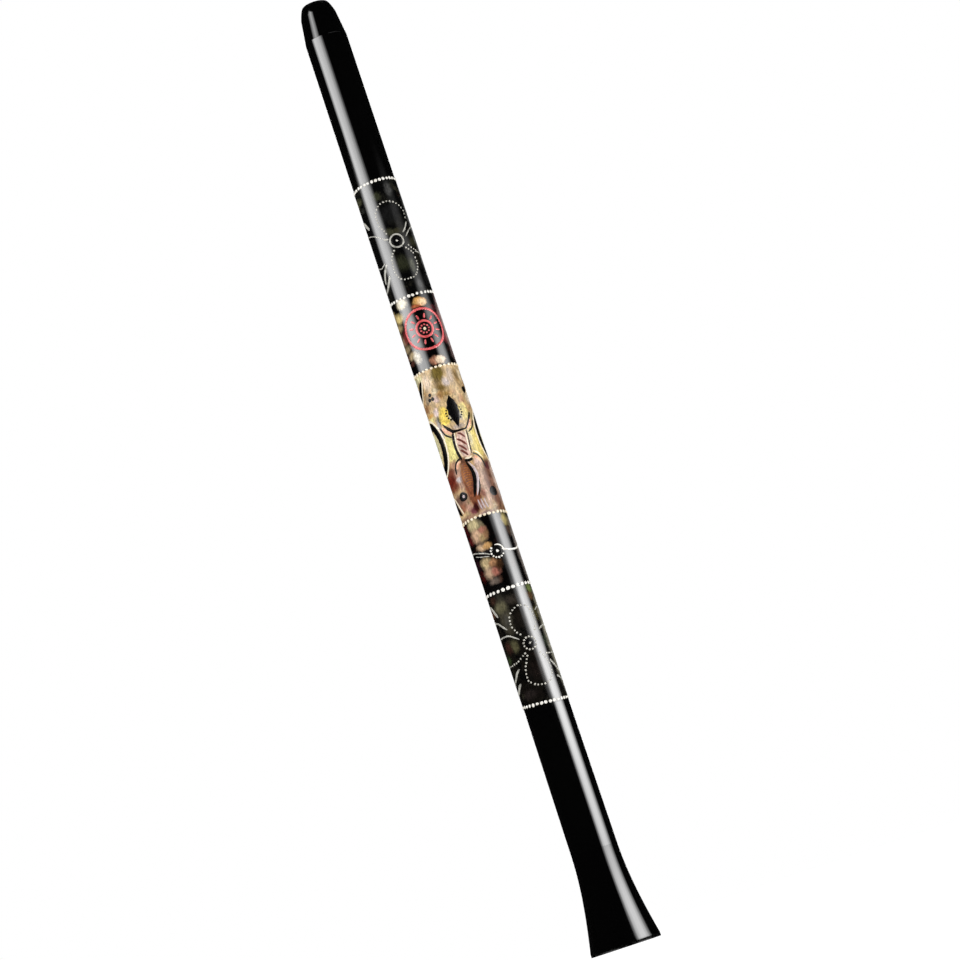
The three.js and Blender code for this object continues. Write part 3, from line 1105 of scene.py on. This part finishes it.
LOWER_FLOWER_WASHES = [
    (-30, 440, 12, 36, (70, 66, 54), 0.95),
    (-36, 452, 14, 12, (92, 88, 66)),
    (-52, 463, 9, 8, (52, 34, 26)),
    (-50, 400, 10, 11, (50, 30, 24)),
    (-30, 399, 8, 12, (78, 75, 52)),
    (-28, 432, 8, 11, (64, 62, 56)),
    (-70, 385, 11, 8, (48, 60, 34), 0.8),
    (-76, 447, 11, 10, (90, 60, 44), 0.8),
    (-2, 457, 13, 8, (50, 44, 38), 0.85),
    (10, 429, 14, 16, (26, 22, 17), 0.85),
    (5, 362, 14, 16, (24, 17, 14)),
    (-32, 335, 15, 9, (36, 30, 28), 0.85),
    (56, 457, 10, 10, (78, 58, 36)),
    (62, 466, 10, 7, (98, 112, 60)),
    (54, 432, 7, 13, (64, 60, 34)),
    (76, 440, 8, 21, (104, 96, 76), 0.7),
    (60, 395, 9, 13, (40, 48, 34), 0.8),
    (66, 335, 10, 13, (10, 10, 10), 0.85),
    # A painted sheen: a pale band down the right edge of the band, repeated at the back.
    (84, 400, 14, 96, (172, 168, 150), 0.85),
]
FLOWER_PATCHES = [
    (26.0, 0.5, 0.7, (26, 25, 20)),
    (40.0, 0.58, 0.74, (46, 44, 34)),
    (33.0, 0.6, 0.72, (32, 22, 16)),
    (60.0, 0.5, 0.66, (3, 3, 3)),
]
MOTIF_PATCHES = [
    (24.0, 0.5, 0.68, (176, 140, 96)),
    (45.0, 0.56, 0.7, (218, 202, 170)),
    (60.0, 0.6, 0.72, (140, 100, 72)),
]

# The films from the top down: name, slot, height of the middle, ground, patches and washes, and
# then warp, contrast and gloss where they differ from the usual.
FILMS = [
    ("upper_flowers", "flower_film", 0.95, (6, 6, 6), FLOWER_PATCHES, UPPER_FLOWER_WASHES),
    ("amber_spots", "amber_film", 0.82, (4, 3, 3), [(30.0, 0.6, 0.75, (44, 20, 16))], AMBER_WASHES),
    ("central_motif", "motif_film", 0.67, (200, 172, 128), MOTIF_PATCHES, MOTIF_WASHES, 6.0, 0.32, 0.14),
    ("wave_line", "wave_film", 0.52, (4, 2, 2), [(28.0, 0.58, 0.74, (36, 12, 10))], WAVE_WASHES),
    ("lower_flowers", "flower_film", 0.4, (16, 13, 10), FLOWER_PATCHES, LOWER_FLOWER_WASHES),
]


# -------- the object


def make_object():
    make_body_tube(black_plastic("black_gloss_tube", 0.0, -1.0))
    make_mouthpiece(black_plastic("black_gloss_mouthpiece", LENGTH - 6 * MM, LENGTH + 2 * MM))
    make_bell(black_plastic("black_gloss_bell", 5 * MM, -2 * MM, 0.38))
    for index, (name, slot, *settings) in enumerate(FILMS):
        material = printed_film_and_sheen("print_" + name, *settings)
        make_film("film_" + name, RINGS[index + 1], RINGS[index], material, slot)
    for index, ring in enumerate(RINGS):
        make_dot_ring(ring, CREAM_PAINT if index in (2, 3) else WHITE_PAINT)
    make_flower("upper_flower", "flower_film", UPPER_EYE, UPPER_DOT_ROWS, UPPER_STROKES, 10)
    make_sun(7.5, 825.5)
    make_motif()
    make_wave(5, 521.5)
    make_flower("lower_flower", "flower_film", LOWER_EYE, LOWER_DOT_ROWS, LOWER_STROKES, 50)


make_object()


# -------- floor and light


def make_floor():
    """A wide pale floor that no reflection shows, so that the black plastic stays black."""
    mesh = bpy.data.meshes.new("floor")
    shape = bmesh.new()
    bmesh.ops.create_grid(shape, x_segments=8, y_segments=8, size=30)
    shape.to_mesh(mesh)
    shape.free()
    material, tree, shader = new_material("pale_floor")
    pale = {"Base Color": (0.86, 0.86, 0.86, 1), "Roughness": 0.9, "Specular IOR Level": 0.0}
    set_inputs(tree, shader, pale)
    set_inputs(tree, shader, {"Emission Color": (1, 1, 1, 1), "Emission Strength": 0.3})
    mesh.materials.append(material)
    floor = bpy.data.objects.new("floor", mesh)
    floor.visible_glossy = False
    bpy.context.scene.collection.objects.link(floor)


def make_world():
    """White to the eye and to matt surfaces, and nearly dark in reflections."""
    world = bpy.data.worlds.new("studio")
    bpy.context.scene.world = world
    world.use_nodes = True
    tree = world.node_tree
    background = tree.nodes["Background"]
    path = add_node(tree, "ShaderNodeLightPath")
    reflected = -0.991  # what a reflection takes off the strength of 1
    change = math_node(tree, "MULTIPLY", path.outputs["Is Glossy Ray"], reflected)
    strength = math_node(tree, "ADD", change, 1.0)
    set_inputs(tree, background, {"Color": (1, 1, 1, 1), "Strength": strength})


def share_ramp(tree, value, stops, start, size):
    """A smooth share of brightness from (place, share) stops along one side of a light."""
    node = add_node(tree, "ShaderNodeValToRGB", {"Fac": value})
    ramp = node.color_ramp
    ramp.interpolation = "EASE"
    for index, (place, share) in enumerate(stops):
        position = (place - start) / size
        element = ramp.elements[index] if index < 2 else ramp.elements.new(position)
        element.position = position
        element.color = (share, share, share, 1)
    return node.outputs["Color"]


def make_softbox(name, across, heights, radiance, distance=1.2):
    """An upright light that faces the axis, seen only in reflections.

    across is its brightness as (azimuth in degrees from the front towards +X, share) stops, and
    heights is the same as (height in metres, share) stops."""
    azimuth = (across[0][0] + across[-1][0]) / 2
    reach = [(distance * math.tan(math.radians(a - azimuth)), share) for a, share in across]
    left, width = reach[0][0], reach[-1][0] - reach[0][0]
    low, tall = heights[0][0], heights[-1][0] - heights[0][0]
    light = bpy.data.lights.new(name, "AREA")
    light.shape = "RECTANGLE"
    light.size = width
    light.size_y = tall
    light.energy = 1.0
    light.use_nodes = True
    tree = light.node_tree
    place = add_node(tree, "ShaderNodeNewGeometry").outputs["Parametric"]
    sides = add_node(tree, "ShaderNodeSeparateXYZ", {"Vector": place})
    share = math_node(
        tree,
        "MULTIPLY",
        share_ramp(tree, sides.outputs["X"], reach, left, width),
        share_ramp(tree, sides.outputs["Y"], heights, low, tall),
    )
    strength = math_node(tree, "MULTIPLY", share, radiance * math.pi * width * tall)
    set_inputs(tree, tree.nodes["Emission"], {"Strength": strength})
    angle = math.radians(azimuth)
    middle = low + tall / 2
    lamp = bpy.data.objects.new(name, light)
    lamp.location = (distance * math.sin(angle), -distance * math.cos(angle), middle)
    facing = Vector((-math.sin(angle), math.cos(angle), 0))
    lamp.rotation_euler = facing.to_track_quat("-Z", "Y").to_euler()
    lamp.visible_camera = False
    lamp.visible_diffuse = False
    bpy.context.scene.collection.objects.link(lamp)


SOFT_SIDE = [(-58, 1), (-40, 0.88), (-28, 0.55), (-18, 0.15), (-12, 0)]
LEFT_ACROSS = [(-94, 0), (-80, 0.5), (-68, 0.95)] + SOFT_SIDE
LEFT_HEIGHTS = [(0.7, 0), (0.8, 0.06), (0.96, 0.25), (1.05, 0.95), (1.3, 1), (1.5, 0)]
HIGH_ACROSS = [(-80, 0), (-72, 0.5), (-64, 1)] + SOFT_SIDE
HIGH_HEIGHTS = [(1.3, 0), (1.5, 1), (1.74, 1), (1.79, 0)]
MOUTH_ACROSS = [(-72, 0), (-60, 0.6), (-50, 1), (-40, 0.6), (-28, 0)]
MOUTH_HEIGHTS = [(1.84, 0), (1.9, 1), (2.7, 1)]
RIGHT_ACROSS = [(36, 0), (42, 0.25), (50, 0.8), (60, 1), (72, 0.95), (82, 0.66), (91, 0.25), (100, 0)]
RIGHT_HEIGHTS = [(0.06, 0), (0.1, 0.7), (0.24, 0.84), (0.4, 1), (0.6, 0.88), (0.72, 0.64)]
RIGHT_HEIGHTS += [(1.05, 0.42), (1.18, 0.1), (1.3, 0.02), (1.45, 0)]
HAZE_ACROSS = [(20, 0), (30, 0.5), (40, 1), (52, 1), (66, 0)]
HAZE_HEIGHTS = [(0.348, 0), (0.36, 0.6), (0.42, 0.85), (0.5, 1)]
HAZE_HEIGHTS += [(0.54, 0.5), (0.58, 0.5), (0.62, 1), (0.7, 0)]
BACK_ACROSS = [(174, 0), (177, 1), (183, 1), (186, 0)]
BACK_HEIGHTS = [(0.1, 1), (1.8, 1)]
LOW_HEIGHTS = [(-1.4, 0), (-1.2, 1), (-0.12, 1), (-0.03, 0)]


# Each light: name, stops across, stops up, radiance, and its distance from the axis if not 1.2.
SOFTBOXES = [
    ("left", LEFT_ACROSS, LEFT_HEIGHTS, 12.2),
    ("left_high", HIGH_ACROSS, HIGH_HEIGHTS, 12.2),
    ("mouth", MOUTH_ACROSS, MOUTH_HEIGHTS, 8.0),
    ("right", RIGHT_ACROSS, RIGHT_HEIGHTS, 17.6),
    ("right_haze", HAZE_ACROSS, HAZE_HEIGHTS, 3.8, 0.4),
    ("back", BACK_ACROSS, BACK_HEIGHTS, 8.0, 1.5),
    # These stand in for the shine of a glossy floor. They show in views from above, and faintly
    # under the rim of the bell in the camera's view.
    ("left_low", LEFT_ACROSS, LOW_HEIGHTS, 2.5),
    ("right_low", RIGHT_ACROSS, LOW_HEIGHTS, 3.0),
    ("back_low", BACK_ACROSS, LOW_HEIGHTS, 3.0, 1.5),
]


def make_lights():
    """Tall softboxes on either side of the camera, small ones over them and a strip at the back."""
    for name, *settings in SOFTBOXES:
        make_softbox(name + "_softbox", *settings)


# -------- camera


def make_camera():
    """Looks up the tube from a low stand, rolled so that the tube leans to the left."""
    distance = 3.57
    height = 0.02
    tilt = math.radians(9.5375)
    yaw = math.radians(0.16)
    roll = math.radians(18.35)
    forward = Vector((math.sin(yaw) * math.cos(tilt), math.cos(yaw) * math.cos(tilt), math.sin(tilt)))
    level_right = forward.cross(Vector((0, 0, 1))).normalized()
    level_up = level_right.cross(forward)
    up = level_up * math.cos(roll) + level_right * math.sin(roll)
    right = level_right * math.cos(roll) - level_up * math.sin(roll)
    view = Matrix((right, up, -forward)).transposed().to_4x4()
    view.translation = Vector((0, -distance, height))
    data = bpy.data.cameras.new("camera")
    data.sensor_width = 36
    data.lens = 105.56
    data.clip_end = 100
    camera = bpy.data.objects.new("camera", data)
    camera.matrix_world = view
    bpy.context.scene.collection.objects.link(camera)
    bpy.context.scene.camera = camera


make_floor()
make_world()
make_lights()
make_camera()
bpy.context.scene.view_settings.view_transform = "Standard"
